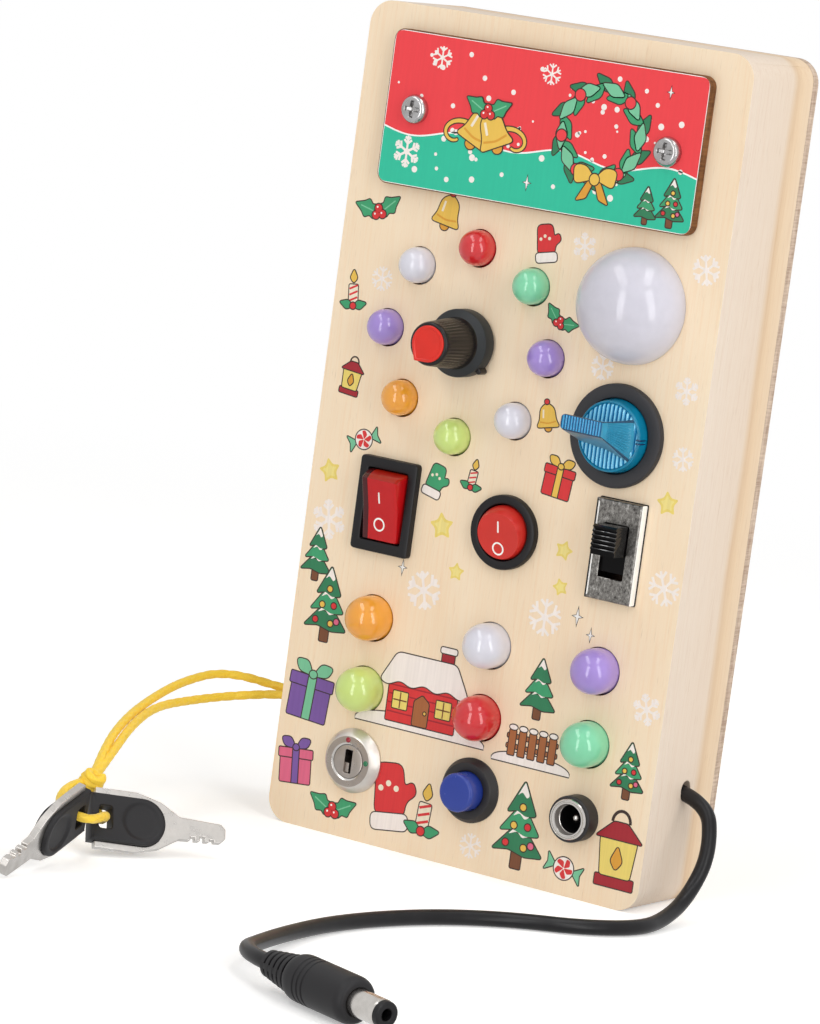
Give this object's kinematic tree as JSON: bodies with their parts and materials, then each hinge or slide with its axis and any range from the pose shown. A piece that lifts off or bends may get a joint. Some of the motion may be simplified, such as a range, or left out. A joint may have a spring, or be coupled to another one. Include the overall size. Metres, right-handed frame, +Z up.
{
  "type": "toy busy board",
  "caption": "Wooden toy switch board with coloured lamps, a dimmer, rocker, slide and rotary switches, a key lock, a push button and a socket with its plug on a lead.",
  "frame": {"origin": "centre of the base, half way through the depth", "axes": "+X to the right seen from the printed face, -Y out of the printed face, +Z up"},
  "size_m": [0.1503, 0.1761, 0.185],
  "materials": {
    "front_wood": "sanded",
    "side_wood": "sanded",
    "back_board": "laser cut",
    "cover_board": "printed",
    "steel": "bright",
    "nickel": "polished",
    "zinc": "mottled",
    "tin": "tinned",
    "black_plastic": "moulded",
    "grip_plastic": "moulded",
    "knob_plastic": "satin",
    "red_plastic": "gloss",
    "red_clear": "translucent",
    "blue_clear": "translucent",
    "blue_plastic": "satin",
    "milky_plastic": "milky",
    "white_plastic": "moulded",
    "phenolic": "pressed board",
    "cell_label": "printed sleeve",
    "wire_cover": "extruded",
    "cable_cover": "satin",
    "satin_cord": "satin braid",
    "led_white": "diffused resin",
    "led_red": "diffused resin",
    "led_mint": "diffused resin",
    "led_purple": "diffused resin",
    "led_orange": "diffused resin",
    "led_lime": "diffused resin"
  },
  "bodies": {
    "board": {"front_panel": "front_wood", "left_side": "side_wood", "right_side": "side_wood", "top_side": "side_wood", "bottom_side": "side_wood", "back_panel": "back_board", "back_screws": "steel", "battery_cover": "cover_board", "cover_screws": "steel", "cover_nuts": "steel", "battery_tray": "black_plastic", "battery_cells": "cell_label", "battery_contacts": "nickel", "led_white": "led_white", "led_red": "led_red", "led_mint": "led_mint", "led_purple": "led_purple", "led_orange": "led_orange", "led_lime": "led_lime", "led_leads": "tin", "dome_lens": "milky_plastic", "dome_base": "white_plastic", "dome_led": "led_white", "dimmer_can": "zinc", "dimmer_washer": "steel", "dimmer_nut": "nickel", "selector_housing": "black_plastic", "rocker_housing": "black_plastic", "round_housing": "black_plastic", "slide_frame": "zinc", "slide_base": "phenolic", "lock_body": "nickel", "panel_nuts": "steel", "button_housing": "black_plastic", "button_spring": "steel", "socket_housing": "black_plastic", "socket_ring": "nickel", "socket_pin": "nickel", "socket_nut": "steel", "solder_lugs": "tin", "wires": "wire_cover", "power_cable": "cable_cover", "plug_body": "black_plastic", "plug_barrel": "nickel", "plug_tip": "black_plastic", "key_right_blade": "nickel", "key_right_grip": "grip_plastic", "key_left_blade": "nickel", "key_left_grip": "grip_plastic", "key_cord": "satin_cord", "key_loop": "satin_cord"},
    "dimmer": {"dimmer_shaft": "nickel", "dimmer_knob": "knob_plastic", "dimmer_cap": "red_plastic"},
    "selector": {"selector_knob": "blue_clear"},
    "rocker": {"rocker_paddle": "red_clear"},
    "round_rocker": {"round_paddle": "red_plastic"},
    "slider": {"slide_lever": "black_plastic"},
    "lock_core": {"lock_rotor": "nickel"},
    "button": {"button_plunger": "blue_plastic"}
  },
  "joints": [
    {"name": "dimmer_turn", "type": "hinge", "parent": "board", "child": "dimmer", "pos_m": [-0.0127, -0.0145, 0.1141], "axis": [0, 1, 0], "range_deg": [0, 280]},
    {"name": "selector_turn", "type": "hinge", "parent": "board", "child": "selector", "pos_m": [0.028, -0.0145, 0.1008], "axis": [0, 1, 0], "range_deg": [0, 90]},
    {"name": "rocker_tip", "type": "hinge", "parent": "board", "child": "rocker", "pos_m": [-0.0273, -0.0149, 0.0752], "axis": [-1, 0, 0], "range_deg": [0, 28]},
    {"name": "round_rocker_tip", "type": "hinge", "parent": "board", "child": "round_rocker", "pos_m": [0.0036, -0.0149, 0.0752], "axis": [-1, 0, 0], "range_deg": [0, 28]},
    {"name": "slider_move", "type": "slide", "parent": "board", "child": "slider", "axis": [0, 0, -1], "range_m": [0, 0.0052]},
    {"name": "lock_turn", "type": "hinge", "parent": "board", "child": "lock_core", "pos_m": [-0.0273, -0.0145, 0.0177], "axis": [0, 1, 0], "range_deg": [0, 90]},
    {"name": "button_press", "type": "slide", "parent": "board", "child": "button", "axis": [0, 1, 0], "range_m": [0, 0.003], "stiffness_N_per_m": 400, "springref_m": -0.003, "deforming": ["button_spring"]}
  ]
}
